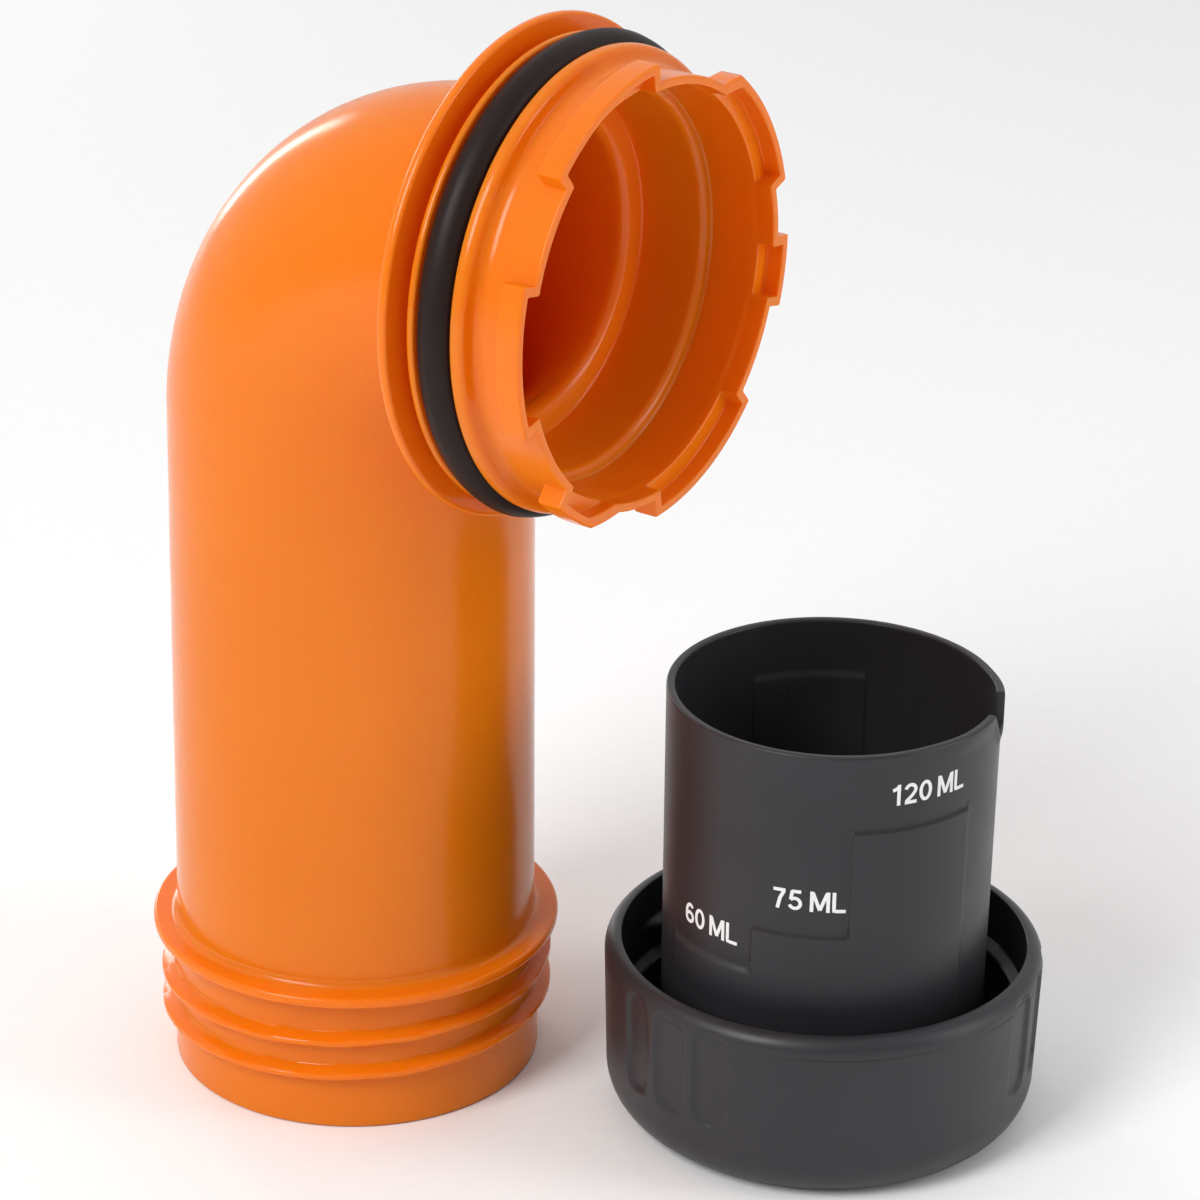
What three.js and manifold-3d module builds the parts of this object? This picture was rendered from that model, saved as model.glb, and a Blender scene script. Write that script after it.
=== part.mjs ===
// Pour-out spout of a portable waste tank: a right-angle elbow tube with a threaded mouth and a tank collar,
// its collar sealing ring, and its screw cap with a measuring cup, standing open beside the mouth.
// Millimetres, +Z up. Origin: on the floor, in the middle of the space that the pieces take up.
// The mouth and the cap stand on the floor, and the collar's axis points along +X.
import * as THREE from 'three';
import { mergeVertices } from 'three/addons/utils/BufferGeometryUtils.js';
import Module from 'manifold-3d';

const wasm = await Module();
wasm.setup();

// Driving dimensions

const SIDES = 48;          // flats round a full turn
const CLEARANCE = 0.3;     // gap between pieces that touch on the real object
const PAST = 1;            // how far a cutter runs past the face that it opens
const TURN = 2 * Math.PI;

// Both threads: width and depth of the ridge, its height where it has faded out, and the share that fades.
const thread = {
  pitch: 6.5,
  rootWidth: 2.8,
  crestWidth: 1.2,
  rootDepth: 0.6,
  fadedHeight: 0.3,
  fade: 0.06,
  stepsPerTurn: 36,
};

const neck = {
  x: -39.8,
  y: -14.0,
  mouthRadius: 32.1,
  threadCrest: 34.3,
  threadBottom: 8.1,
  threadTurns: 2,
  threadStart: 143,
  flangeRadius: 35.5,
  flangeBottom: 24.8,
  flangeTop: 26.7,
  flangeBevel: 0.5,
  boreRadius: 29.9,
};

const tube = { lowerRadius: 31.3, upperRadius: 30.7, wall: 1.9 };

const elbow = { bendRadius: 29.7, axisHeight: 153.0, endRadius: 27.0, insideFillet: 4, steps: 12 };

// Places along the collar's axis are x values; the collar runs from its rear flange to its crown.
const collar = {
  rearFlange: { radius: 40.9, from: 36.6, to: 38.5 },
  middleRib: { radius: 38.4, from: 40.6, to: 41.9 },
  frontRib: { radius: 37.8, from: 48.3, to: 50.7 },
  ribFillet: 1.1,
  coreRadius: 32.4,
  sealSeatRadius: 32.95,
  boreFrontRadius: 30.9,
  boreBackRadius: 29.6,
  boreFrom: 37.8,
};

const crown = {
  radius: 34.9,
  boreFrontRadius: 33.4,
  boreBackRadius: 32.8,
  boreFrom: 49.4,
  front: 61.2,
  lugRadius: 37.85,
  lugBack: 56.9,
  pocketRadius: 36.35,
  pocketBack: 58.3,
};
crown.wall = crown.radius - crown.boreFrontRadius;

// Crown lugs, in degrees about +X from +Y: the raised face spans from..to, and a sloping flank ends at foot.
const LUGS = [
  { from: 14.8, to: 53.5, foot: 59.8 },
  { from: 91.4, to: 136.4, foot: 136.4 },
  { from: 162, to: 200.5, foot: 200.5 },
  { from: 225.7, to: 242.6, foot: 253.6 },
  { from: 270.9, to: 316.8, foot: 316.8 },
  { from: 341.5, to: 360.2, foot: 360.2 },
];

const sealRing = { tubeRadius: 3.05, sides: 12 };

const cap = {
  x: 37.65,
  y: 17.15,
  lowerRadius: 37.1,
  upperRadius: 37.7,
  height: 31.1,
  baseFillet: 7.6,
  lip: 2.4,
  boreRadius: 35.0,
  floor: 7.5,
  seatRadius: 28.3,
  seatDepth: 0.8,
  recessRadius: 24,
  recessDepth: 4.2,
  threadCrest: 33.1,
  threadBottom: 14.8,
  threadTurns: 1.25,
  threadStart: 100,
};

const flutes = {
  groups: 3,
  perGroup: 3,
  groupCentre: 18.6,
  spacing: 13.3,
  width: 6.4,
  bottom: 12.3,
  top: 29.9,
  floorDistance: 36.8,
  cutDepth: 3,
};

const cup = { radius: 27.75, rimRadius: 28.15, wall: 1.5, height: 78.75, floor: 9.7 };

// Notch in the cup's rim: where it starts and ends at the top and at the bottom, across its centre line.
const pourNotch = {
  centre: 22,
  bottom: 73.4,
  topFrom: -4.8,
  topTo: 4.4,
  bottomFrom: -0.4,
  bottomTo: 2.9,
  cutDepth: 7,
};

const capSeal = { innerRadius: 28.7, outerRadius: 34.5, thickness: 1.8 };

// Geometry helpers

const point = (x, y) => new THREE.Vector2(x, y);
const radians = THREE.MathUtils.degToRad;
const between = THREE.MathUtils.lerp;

function solid(geometry) {
  geometry.deleteAttribute('normal');
  geometry.deleteAttribute('uv');
  const merged = mergeVertices(geometry, 1e-4);
  const triVerts = [];
  for (let i = 0; i < merged.index.count; i += 3) {
    const corners = [0, 1, 2].map((k) => merged.index.getX(i + k));
    if (new Set(corners).size === 3) triVerts.push(...corners);
  }
  return new wasm.Manifold(new wasm.Mesh({
    numProp: 3,
    vertProperties: merged.attributes.position.array,
    triVerts: Uint32Array.from(triVerts),
  }));
}

function geometryOf(manifold) {
  const mesh = manifold.getMesh();
  const geometry = new THREE.BufferGeometry();
  geometry.setAttribute('position', new THREE.BufferAttribute(new Float32Array(mesh.vertProperties), 3));
  geometry.setIndex(new THREE.BufferAttribute(new Uint32Array(mesh.triVerts), 1));
  geometry.computeVertexNormals();
  return geometry;
}

// Turned body about +Z. The outline holds (radius, height) points, from the axis outwards and up.
const turned = (outline) => new THREE.LatheGeometry(outline, SIDES).rotateX(Math.PI / 2);

// Turned body about the collar's axis. The outline holds (radius, x) points.
function turnedOnCollar(outline) {
  return new THREE.LatheGeometry(outline, SIDES).rotateZ(-Math.PI / 2).translate(0, 0, elbow.axisHeight);
}

// Closed skin over a row of rings that all have the same number of points, with a fan over each end.
function skin(rings) {
  const count = rings[0].length;
  const positions = rings.flat();
  const faces = [];
  for (let r = 0; r < rings.length - 1; r += 1) {
    for (let k = 0; k < count; k += 1) {
      const next = (k + 1) % count;
      const [a, b] = [r * count + k, r * count + next];
      faces.push(a, b, a + count, b, b + count, a + count);
    }
  }
  const last = (rings.length - 1) * count;
  for (let k = 1; k < count - 1; k += 1) {
    faces.push(0, k + 1, k);
    faces.push(last, last + k, last + k + 1);
  }
  const geometry = new THREE.BufferGeometry().setFromPoints(positions);
  geometry.setIndex(faces);
  return geometry;
}

// Thread ridge that climbs with the turn, so it is right-handed; it fades in and out at its ends.
function threadRidge({ wall, crest, bottom, turns, start }) {
  const { pitch, rootWidth, crestWidth, rootDepth, fadedHeight, fade, stepsPerTurn } = thread;
  const steps = Math.round(turns * stepsPerTurn);
  const outward = Math.sign(crest - wall);
  const root = wall - outward * rootDepth;
  const rings = [];
  for (let i = 0; i <= steps; i += 1) {
    const share = i / steps;
    const angle = radians(start) + share * turns * TURN;
    const z = bottom + share * turns * pitch;
    const height = Math.max(0, Math.min(1, share / fade, (1 - share) / fade));
    const top = between(wall + outward * fadedHeight, crest, height);
    const corners = [[root, rootWidth], [top, crestWidth], [top, -crestWidth], [root, -rootWidth]];
    rings.push(corners.map(([radius, width]) => new THREE.Vector3(
      radius * Math.cos(angle), radius * Math.sin(angle), z + (outward * width) / 2)));
  }
  return skin(rings);
}

const plainExtrude = { bevelEnabled: false, curveSegments: 8 };

// Part of a ring round the collar's axis. Its inner and outer arcs may end at different angles.
function ringSector(inner, outer, back, front) {
  const shape = new THREE.Shape();
  shape.absarc(0, 0, outer.radius, radians(outer.from), radians(outer.to), false);
  shape.absarc(0, 0, inner.radius, radians(inner.to), radians(inner.from), true);
  const geometry = new THREE.ExtrudeGeometry(shape, { ...plainExtrude, depth: front - back });
  const toCollar = new THREE.Matrix4().makeBasis(
    new THREE.Vector3(0, 1, 0), new THREE.Vector3(0, 0, 1), new THREE.Vector3(1, 0, 0));
  return geometry.applyMatrix4(toCollar).translate(back, 0, elbow.axisHeight);
}

// Flat outline stood upright and driven outwards from a distance off the +Z axis, at an angle about it.
function upright(shape, distance, depth, degrees) {
  const geometry = new THREE.ExtrudeGeometry(shape, { ...plainExtrude, depth });
  const facing = new THREE.Matrix4().makeBasis(
    new THREE.Vector3(0, 1, 0), new THREE.Vector3(0, 0, 1), new THREE.Vector3(1, 0, 0));
  return geometry.applyMatrix4(facing).translate(distance, 0, 0).rotateZ(radians(degrees));
}

// Spout

// Ellipse across the tube, between a point on the bend's outside and one on its inside, both in the XZ plane.
function tubeRing(outside, inside, sideRadius) {
  const centre = outside.clone().add(inside).multiplyScalar(0.5);
  const half = outside.clone().sub(inside).multiplyScalar(0.5);
  return Array.from({ length: SIDES }, (_, k) => {
    const angle = (k / SIDES) * TURN;
    const x = centre.x + half.x * Math.cos(angle);
    const z = centre.y + half.y * Math.cos(angle);
    return new THREE.Vector3(x, -sideRadius * Math.sin(angle), z);
  });
}

function levelRing(z, radius) {
  return tubeRing(point(-radius, z), point(radius, z), radius);
}

function uprightRing(x, radius) {
  return tubeRing(point(x, elbow.axisHeight + radius), point(x, elbow.axisHeight - radius), radius);
}

// Rings round the right-angle bend, drawn in from the outer skin by inset.
function bendRings(inset) {
  const start = elbow.axisHeight - elbow.bendRadius;
  const corner = point(tube.upperRadius + elbow.insideFillet,
    elbow.axisHeight - elbow.endRadius - elbow.insideFillet);
  const rings = [];
  for (let i = 0; i <= elbow.steps; i += 1) {
    const share = i / elbow.steps;
    const angle = (share * Math.PI) / 2;
    const sideRadius = between(tube.upperRadius, elbow.endRadius, share) - inset;
    const outer = elbow.bendRadius + sideRadius;
    const inner = elbow.insideFillet + inset;
    rings.push(tubeRing(
      point(elbow.bendRadius - outer * Math.cos(angle), start + outer * Math.sin(angle)),
      point(corner.x - inner * Math.cos(angle), corner.y + inner * Math.sin(angle)),
      sideRadius));
  }
  return rings;
}

function neckOutline() {
  return [
    point(0, 0),
    point(neck.mouthRadius, 0),
    point(neck.mouthRadius, neck.flangeBottom),
    point(neck.flangeRadius, neck.flangeBottom),
    point(neck.flangeRadius, neck.flangeTop - neck.flangeBevel),
    point(neck.flangeRadius - neck.flangeBevel, neck.flangeTop),
    point(tube.lowerRadius + neck.flangeBevel, neck.flangeTop),
    point(tube.lowerRadius, neck.flangeTop + PAST),
    point(0, neck.flangeTop + PAST),
  ];
}

function band({ radius, from, to }) {
  return [point(radius, from), point(radius, to)];
}

function collarOutline() {
  const { rearFlange, middleRib, frontRib } = collar;
  return [
    point(0, rearFlange.from),
    ...band(rearFlange),
    ...band({ radius: collar.coreRadius, from: rearFlange.to, to: middleRib.from }),
    ...band(middleRib),
    ...band({ radius: collar.sealSeatRadius, from: middleRib.to, to: frontRib.from }),
    ...band(frontRib),
    point(crown.radius + collar.ribFillet, frontRib.to),
    ...band({ radius: crown.radius, from: frontRib.to + collar.ribFillet, to: crown.front }),
    point(0, crown.front),
  ];
}

function collarBoreOutline() {
  return [
    point(0, collar.boreFrom),
    point(collar.boreBackRadius, collar.boreFrom),
    point(collar.boreFrontRadius, crown.boreFrom),
    point(crown.boreBackRadius, crown.boreFrom),
    point(crown.boreFrontRadius, crown.front),
    point(crown.boreFrontRadius, crown.front + PAST),
    point(0, crown.front + PAST),
  ];
}

function lug({ from, to, foot }) {
  const inner = { radius: crown.radius - crown.wall / 2, from, to: foot };
  const outer = { radius: crown.lugRadius, from, to };
  return solid(ringSector(inner, outer, crown.lugBack, crown.front));
}

// The crown's wall keeps its thickness round each lug, so each lug is hollow from the front.
function lugPocket({ from, to, foot }) {
  const side = THREE.MathUtils.radToDeg(crown.wall / crown.pocketRadius);
  const inner = { radius: crown.boreBackRadius - PAST, from: from + side, to: foot - side };
  const outer = { radius: crown.pocketRadius, from: from + side, to: to - side };
  return solid(ringSector(inner, outer, crown.pocketBack, crown.front + PAST));
}

function spoutSolid() {
  const legEnd = collar.rearFlange.from + PAST;
  const outside = [
    levelRing(neck.flangeBottom, tube.lowerRadius),
    ...bendRings(0),
    uprightRing(legEnd, elbow.endRadius),
  ];
  const inside = [
    levelRing(-PAST, neck.boreRadius),
    ...bendRings(tube.wall),
    uprightRing(collar.boreFrom + PAST, elbow.endRadius - tube.wall),
  ];
  const ridge = threadRidge({
    wall: neck.mouthRadius,
    crest: neck.threadCrest,
    bottom: neck.threadBottom,
    turns: neck.threadTurns,
    start: neck.threadStart,
  });
  let body = solid(skin(outside))
    .add(solid(turned(neckOutline())))
    .add(solid(turnedOnCollar(collarOutline())))
    .add(solid(ridge));
  LUGS.forEach((each) => { body = body.add(lug(each)); });
  body = body.subtract(solid(skin(inside))).subtract(solid(turnedOnCollar(collarBoreOutline())));
  LUGS.forEach((each) => { body = body.subtract(lugPocket(each)); });
  return body;
}

// Collar sealing ring, in the seat between the middle and front ribs

function sealRingGeometry() {
  const centre = (collar.middleRib.to + collar.frontRib.from) / 2;
  const radius = collar.sealSeatRadius + CLEARANCE + sealRing.tubeRadius;
  return new THREE.TorusGeometry(radius, sealRing.tubeRadius, sealRing.sides, SIDES)
    .rotateY(Math.PI / 2)
    .translate(centre, 0, elbow.axisHeight);
}

// Screw cap

function capOutline() {
  const bend = new THREE.Path().absarc(
    cap.lowerRadius - cap.baseFillet, cap.baseFillet, cap.baseFillet, -Math.PI / 2, 0, false);
  const lip = new THREE.Path().absarc(
    cap.upperRadius - cap.lip, cap.height - cap.lip, cap.lip, 0, Math.PI / 2, false);
  return [point(0, 0), ...bend.getPoints(6), ...lip.getPoints(4), point(0, cap.height)];
}

function capHollowOutline() {
  return [
    point(0, cap.floor - cap.seatDepth),
    point(cap.seatRadius, cap.floor - cap.seatDepth),
    point(cap.seatRadius, cap.floor),
    point(cap.boreRadius, cap.floor),
    point(cap.boreRadius, cap.height + PAST),
    point(0, cap.height + PAST),
  ];
}

function capRecessOutline() {
  return [
    point(0, -PAST),
    point(cap.recessRadius, -PAST),
    point(cap.recessRadius - PAST, cap.recessDepth),
    point(0, cap.recessDepth),
  ];
}

function fluteShape() {
  const half = flutes.width / 2;
  const shape = new THREE.Shape();
  shape.absarc(0, flutes.bottom + half, half, Math.PI, TURN, false);
  shape.absarc(0, flutes.top - half, half, 0, Math.PI, false);
  return shape;
}

function capSolid() {
  const ridge = threadRidge({
    wall: cap.boreRadius,
    crest: cap.threadCrest,
    bottom: cap.threadBottom,
    turns: cap.threadTurns,
    start: cap.threadStart,
  });
  let body = solid(turned(capOutline()))
    .subtract(solid(turned(capHollowOutline())))
    .subtract(solid(turned(capRecessOutline())))
    .add(solid(ridge));
  for (let group = 0; group < flutes.groups; group += 1) {
    for (let i = 0; i < flutes.perGroup; i += 1) {
      const offset = (i - (flutes.perGroup - 1) / 2) * flutes.spacing;
      const angle = flutes.groupCentre + (group * 360) / flutes.groups + offset;
      body = body.subtract(solid(upright(fluteShape(), flutes.floorDistance, flutes.cutDepth, angle)));
    }
  }
  return body;
}

// Measuring cup, seated in the cap's floor

function cupOutline() {
  const bottom = cap.floor - cap.seatDepth + CLEARANCE;
  const bore = cup.radius - cup.wall;
  return [
    point(0, bottom),
    point(cup.radius, bottom),
    point(cup.rimRadius, cup.height),
    point(cup.rimRadius - cup.wall, cup.height),
    point(bore, cup.floor),
    point(0, cup.floor),
  ];
}

function cupSolid() {
  const top = cup.height + PAST;
  const outline = new THREE.Shape([
    point(pourNotch.bottomFrom, pourNotch.bottom),
    point(pourNotch.bottomTo, pourNotch.bottom),
    point(pourNotch.topTo, top),
    point(pourNotch.topFrom, top),
  ]);
  const distance = cup.rimRadius + PAST - pourNotch.cutDepth;
  const notch = upright(outline, distance, pourNotch.cutDepth, pourNotch.centre);
  return solid(turned(cupOutline())).subtract(solid(notch));
}

// Sealing washer on the cap's floor, where the mouth's end face lands

function capSealOutline() {
  const bottom = cap.floor + CLEARANCE;
  const top = bottom + capSeal.thickness;
  return [
    point(capSeal.innerRadius, bottom),
    point(capSeal.outerRadius, bottom),
    point(capSeal.outerRadius, top),
    point(capSeal.innerRadius, top),
    point(capSeal.innerRadius, bottom),
  ];
}

// Assembly

const finishes = {
  orange: { color: 0xe8741c, roughness: 0.3, metalness: 0 },
  grey: { color: 0x434146, roughness: 0.45, metalness: 0 },
  ringRubber: { color: 0x2b2523, roughness: 0.55, metalness: 0 },
  sealRubber: { color: 0x1d1c1d, roughness: 0.7, metalness: 0 },
};

function piece(name, geometry, finish) {
  const mesh = new THREE.Mesh(geometry, new THREE.MeshStandardMaterial(finish));
  mesh.name = name;
  return mesh;
}

const spoutGroup = new THREE.Group();
spoutGroup.position.set(neck.x, neck.y, 0);
spoutGroup.add(piece('spout', geometryOf(spoutSolid()), finishes.orange));
spoutGroup.add(piece('tank_seal_ring', sealRingGeometry(), finishes.ringRubber));

const capGroup = new THREE.Group();
capGroup.position.set(cap.x, cap.y, 0);
capGroup.add(piece('screw_cap', geometryOf(capSolid()), finishes.grey));
capGroup.add(piece('measuring_cup', geometryOf(cupSolid()), finishes.grey));
capGroup.add(piece('cap_seal', turned(capSealOutline()), finishes.sealRubber));

const assembly = new THREE.Group();
assembly.add(spoutGroup, capGroup);

export default assembly;
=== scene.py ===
"""Looks of the pour-out spout: orange elbow with its ring, and the open screw cap with its measuring cup.

Outlines are in millimetres in each piece's own frame, and meshes are in metres in the frame of the CAD.
"""

import math

import bmesh
import bpy
import numpy as np
from mathutils import Matrix, Vector


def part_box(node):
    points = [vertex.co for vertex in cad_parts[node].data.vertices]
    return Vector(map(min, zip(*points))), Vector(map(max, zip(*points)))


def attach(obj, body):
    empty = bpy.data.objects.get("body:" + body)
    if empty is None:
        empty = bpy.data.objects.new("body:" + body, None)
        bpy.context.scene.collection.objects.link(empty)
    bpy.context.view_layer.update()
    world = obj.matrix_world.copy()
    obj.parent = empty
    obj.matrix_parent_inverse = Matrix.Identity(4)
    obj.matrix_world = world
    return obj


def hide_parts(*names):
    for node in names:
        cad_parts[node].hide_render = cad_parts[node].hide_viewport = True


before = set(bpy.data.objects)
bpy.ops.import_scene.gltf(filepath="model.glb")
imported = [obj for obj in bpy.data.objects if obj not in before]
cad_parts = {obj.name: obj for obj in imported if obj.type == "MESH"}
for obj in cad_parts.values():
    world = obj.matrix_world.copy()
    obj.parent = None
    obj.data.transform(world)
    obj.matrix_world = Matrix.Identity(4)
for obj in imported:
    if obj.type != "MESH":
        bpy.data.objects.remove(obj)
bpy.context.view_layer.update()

MM = 0.001
SHARP_ANGLE = 50

# Driving dimensions, in millimetres and degrees

MOUTH_RADIUS = 32.1
MOUTH_BORE = 29.9
MOUTH_EDGE = 0.35
NECK_THREAD = {"pitch": 6.5, "turns": 2, "start": 143, "bottom": 8.0, "height": 2.2, "half_width": 1.5}
NECK_FLANGE_RADIUS = 35.5
NECK_FLANGE_BOTTOM = 24.8
NECK_FLANGE_TOP = 26.7
NECK_THREAD_SPAN = (4, 25)
THREAD_FADE = 0.03
THREAD_FLAT = 0.25
TUBE_START = 32
TUBE_LOWER = 31.3
TUBE_UPPER = 30.7
TUBE_WALL = 1.9
BEND_RADIUS = 29.7
BEND_INSIDE_FILLET = 4.0
LEG_RADIUS = 27.0
LEG_BORE_FRONT = 34.4
REAR_FLANGE_BACK = 36.6
REAR_FLANGE_FRONT = 38.5
REAR_FLANGE_RADIUS = 40.9
MIDDLE_RIB_RADIUS = 38.4
MIDDLE_RIB = (40.6, 41.9)
FRONT_RIB_RADIUS = 37.8
FRONT_RIB = (48.3, 50.7)
CORE_RADIUS = 32.4
SEAT_RADIUS = 32.9
CROWN_FRONT = 61.2
CROWN_RADIUS = 34.85
CROWN_BORE = 33.4
CROWN_BORE_BACK = 32.8
LEDGE = 49.4
LUG_RADIUS = 37.85
POCKET_RADIUS = 36.35
LUG_BACK = 56.9
POCKET_BACK = 58.3
CROWN_BACK = 53.7
CROWN_THROAT = (CROWN_BORE - 0.2, 57.2, 0)
COLLAR_BORE_FRONT = 30.9
COLLAR_BORE_BACK = 29.6
COLLAR_BORE_END = 37.8

# Crown lugs, in degrees about +X from +Y: raised from start to end, with a flank that slopes down to foot
LUGS = (
    (14.8, 53.5, 59.8),
    (91.4, 136.4, 136.4),
    (162, 200.5, 200.5),
    (225.7, 242.6, 253.6),
    (270.9, 316.8, 316.8),
    (341.5, 360.2, 360.2),
)
LUG_FLANK = 0.08
LUG_FLANK_LIMIT = 60

RING_SECTION = 3.05
RING_RADIUS = 36.3
RING_PLACE = 45.05
RING_FLASH = 0.1
RING_FLASH_WIDTH = 5

CAP_LOWER = 37.1
CAP_UPPER = 37.7
CAP_HEIGHT = 31.4
CAP_BASE_REACH = 7.2
CAP_BASE_RISE = 8.0
PARTING_HEIGHT = 28.1
CAP_LIP_REACH = 2.5
CAP_LIP_RISE = 2.9
CAP_BORE = 34.8
CAP_FLOOR = 7.5
CAP_SEAT_RADIUS = 28.3
CAP_MIDDLE_FLOOR = 6.6
CAP_RECESS_RADIUS = 22.0
CAP_RECESS_TOP = 4.2
CAP_FOOT = ((23.2, CAP_RECESS_TOP, 0.5), (24.0, 0, 0.5), (24.9, 0, 0))
CAP_THREAD = {"pitch": 6.5, "turns": 1.25, "start": 100, "bottom": 14.8, "height": -1.9, "half_width": 1.5}
CAP_THREAD_SPAN = (10, 30)
FLUTE_GROUPS = 3
FLUTES_PER_GROUP = 3
FLUTE_CENTRE = 18.6
FLUTE_SPACING = 13.3
FLUTE_WIDTH = 6.4
FLUTE_HALF_TURN = 4.9
FLUTE_BOTTOM = 11.2
FLUTE_TOP = 29.9
FLUTE_DEPTH = 0.6

CUP_RADIUS = 27.75
CUP_RIM_RADIUS = 28.15
CUP_WALL = 1.5
CUP_HEIGHT = 78.75
CUP_BASE = 7.0
CUP_FLOOR = 9.7
NOTCH_DEPTH = 5.3
# Share of the notch's depth at angles about the cup: a slope down from one side, a steep end at the other
NOTCH_ANGLES = (11.3, 12.3, 18.0, 19.5, 29.6, 30.6, 31.0)
NOTCH_SHARES = (0.0, 0.14, 0.93, 1.0, 1.0, 0.1, 0.0)
LIP_FLARE = 0.4
LIP_ANGLES = (-14, 44)
LIP_BLUR = 9
LIP_ZONE = 14

# Raised steps on the cup as (start angle, end angle, top of the raised part, level line)
STEPS = (
    (-122.2, -84.4, 37.4, 40.4),
    (-84.4, -51.0, 45.8, 48.6),
    (-51.0, -5.0, 65.2, 67.3),
)
STEP_RELIEF = 0.42
STEP_SINK = 0.14
# Raised panel inside the cup as (start angle, end angle, top)
PANEL = (109.0, 152.5, 68.6)
PANEL_RELIEF = 0.35

WASHER_BORE = 28.7
WASHER_RADIUS = 34.5
WASHER_BOTTOM = 7.8
WASHER_TOP = 9.6
WASHER_EDGE = 0.3

# Volume marks as (name, text, azimuth of the left end, height above the cap's base)
MARKS = (
    ("mark_60", "60 ML", -115.4, 41.4),
    ("mark_75", "75 ML", -77.2, 50.5),
    ("mark_120", "120 ML", -38.2, 69.6),
)
INSIDE_MARK = ("mark_inside", "4 OZ", 141, 64.2)
MARK_HEIGHT = 3.75
INSIDE_MARK_HEIGHT = 3.4
MARK_STROKE = 0.16
INK_LIFT = (-0.02, 0.05)
RAISED_LIFT = (-0.03, 0.12)
SIGN_GAP = 0.08

# Places taken from the frame

_, spout_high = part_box("spout")
ring_low, ring_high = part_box("tank_seal_ring")
cap_low, cap_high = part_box("screw_cap")
collar_centre = (ring_low + ring_high) / 2
AXIS_HEIGHT = collar_centre.z / MM
SPOUT_PLACE = (spout_high.x / MM - CROWN_FRONT, collar_centre.y / MM, 0)
CAP_PLACE = ((cap_low.x + cap_high.x) / 2 / MM, (cap_low.y + cap_high.y) / 2 / MM, 0)


# Outlines and rings


def rounded(corners, steps=4):
    """Outline through corners given as (a, b, setback), each corner rounded off over its setback."""
    spots = np.array([corner[:2] for corner in corners], float)
    outline = []
    for i, corner in enumerate(corners):
        setback = corner[2]
        if setback == 0 or i in (0, len(corners) - 1):
            outline.append(spots[i])
            continue
        before = spots[i - 1] - spots[i]
        after = spots[i + 1] - spots[i]
        start = spots[i] + before / np.linalg.norm(before) * setback
        end = spots[i] + after / np.linalg.norm(after) * setback
        for t in np.linspace(0, 1, steps + 1):
            outline.append((1 - t) ** 2 * start + 2 * t * (1 - t) * spots[i] + t**2 * end)
    return np.array(outline)


def divided(outline, longest):
    """The same outline with long stretches cut into equal steps no longer than longest."""
    points = [outline[0]]
    for start, end in zip(outline[:-1], outline[1:]):
        steps = max(1, math.ceil(np.linalg.norm(end - start) / longest - 1e-6))
        for i in range(1, steps + 1):
            points.append(start + (end - start) * i / steps)
    return np.array(points)


def soft_step(value, low, high):
    t = np.clip((value - low) / (high - low), 0, 1)
    return t * t * (3 - 2 * t)


class Skin:
    """A closed skin over a row of rings. Rings next to each other may have different numbers of points."""

    def __init__(self):
        self.points = []
        self.faces = []
        self.last = None

    def ring(self, points, angles):
        first = len(self.points)
        self.points.extend(points)
        new = (list(range(first, first + len(points))), list(angles))
        if self.last:
            self.join(self.last, new)
        self.last = new

    def pole(self, point):
        """A ring shrunk to one point, which closes the skin on an axis."""
        tip = len(self.points)
        self.points.append(point)
        if self.last:
            around = self.last[0]
            self.faces += [(a, b, tip) for a, b in zip(around, around[1:] + around[:1])]
            self.last = None
        else:
            self.last = ([tip], [0])

    def close(self, angles):
        """Joins the last ring to the first one, which has these angles."""
        self.join(self.last, (list(range(len(angles))), list(angles)))

    def join(self, old, new):
        (old_ids, old_angles), (new_ids, new_angles) = old, new
        n, m = len(old_ids), len(new_ids)
        if n == 1:
            self.faces += [(b, a, old_ids[0]) for a, b in zip(new_ids, new_ids[1:] + new_ids[:1])]
        elif n == m:
            for i in range(n):
                j = (i + 1) % n
                self.faces.append((old_ids[i], old_ids[j], new_ids[j], new_ids[i]))
        else:
            self.zip(old_ids, old_angles, new_ids, new_angles)

    def zip(self, old_ids, old_angles, new_ids, new_angles):
        """Triangles between rings with different columns, stepping round on whichever ring is behind."""
        n, m = len(old_ids), len(new_ids)
        old_ends = old_angles[1:] + [old_angles[0] + 360]
        new_ends = new_angles[1:] + [new_angles[0] + 360]
        i = j = 0
        while i < n or j < m:
            if j == m or (i < n and old_ends[i] <= new_ends[j]):
                self.faces.append((old_ids[i], old_ids[(i + 1) % n], new_ids[j % m]))
                i += 1
            else:
                self.faces.append((old_ids[i % n], new_ids[(j + 1) % m], new_ids[j]))
                j += 1


def new_object(name, points, faces, place):
    mesh = bpy.data.meshes.new(name)
    moved = (np.array(points) + np.array(place)) * MM
    mesh.from_pydata(moved.tolist(), [], faces)
    shape = bmesh.new()
    shape.from_mesh(mesh)
    bmesh.ops.recalc_face_normals(shape, faces=shape.faces)
    shape.to_mesh(mesh)
    shape.free()
    mesh.shade_smooth()
    mesh.set_sharp_from_angle(angle=math.radians(SHARP_ANGLE))
    made = bpy.data.objects.new(name, mesh)
    bpy.context.scene.collection.objects.link(made)
    weighted = made.modifiers.new("weighted_normals", "WEIGHTED_NORMAL")
    weighted.keep_sharp = True
    return made


def columns(count, extra=()):
    """Evenly spaced angles, with the extra ones in between and none of them too close together."""
    angles = sorted({round(float(a) % 360, 3) for a in extra})
    for angle in np.arange(count) * 360 / count:
        gaps = [abs((angle - other + 180) % 360 - 180) for other in angles]
        if not gaps or min(gaps) > 0.3 * 360 / count:
            angles.append(float(angle))
    return np.array(sorted(angles))


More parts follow.
